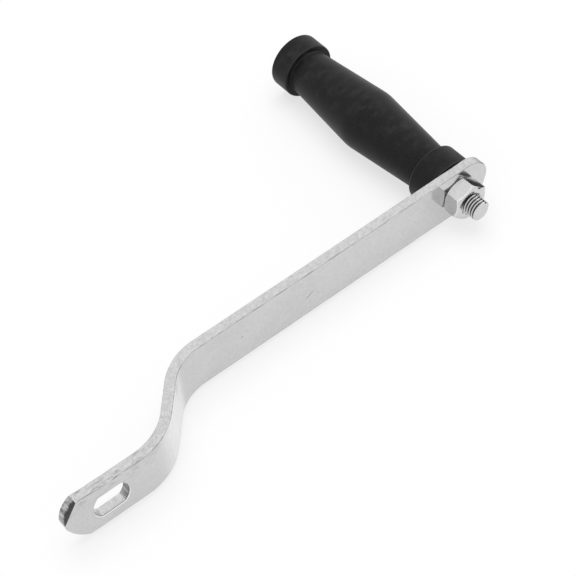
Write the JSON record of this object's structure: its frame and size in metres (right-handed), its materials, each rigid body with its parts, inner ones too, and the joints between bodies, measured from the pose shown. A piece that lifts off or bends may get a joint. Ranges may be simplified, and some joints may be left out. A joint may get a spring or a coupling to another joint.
{
  "type": "crank handle",
  "caption": "Hand crank of doubly bent flat steel bar: double-D hole at the hub end, black waisted grip spinning on a through bolt at the other.",
  "frame": {"origin": "centre of the double-D hole, on the hub face that seats against the winch", "axes": "+X along the bar towards the grip, +Y along the bolt and grip away from the winch, +Z across the bar's width"},
  "size_m": [0.2496, 0.1467, 0.0306],
  "materials": {
    "plated_bar": "bright zinc plate over rolled bar, lightly scuffed",
    "grip_rubber": "satin black, moulded",
    "plated_fastener": "bright zinc plate",
    "plain_steel": "drawn tube, oiled"
  },
  "bodies": {
    "arm_body": {"crank_arm": "plated_bar", "axle_bolt": "plated_fastener", "head_washer": "plated_fastener", "spacer_tube": "plain_steel", "hex_nut": "plated_fastener"},
    "grip_body": {"grip": "grip_rubber"}
  },
  "joints": [
    {"name": "grip_spin", "type": "hinge", "parent": "arm_body", "child": "grip_body", "pos_m": [0.2106, 0.09, 0], "axis": [0, 1, 0], "continuous": true}
  ]
}
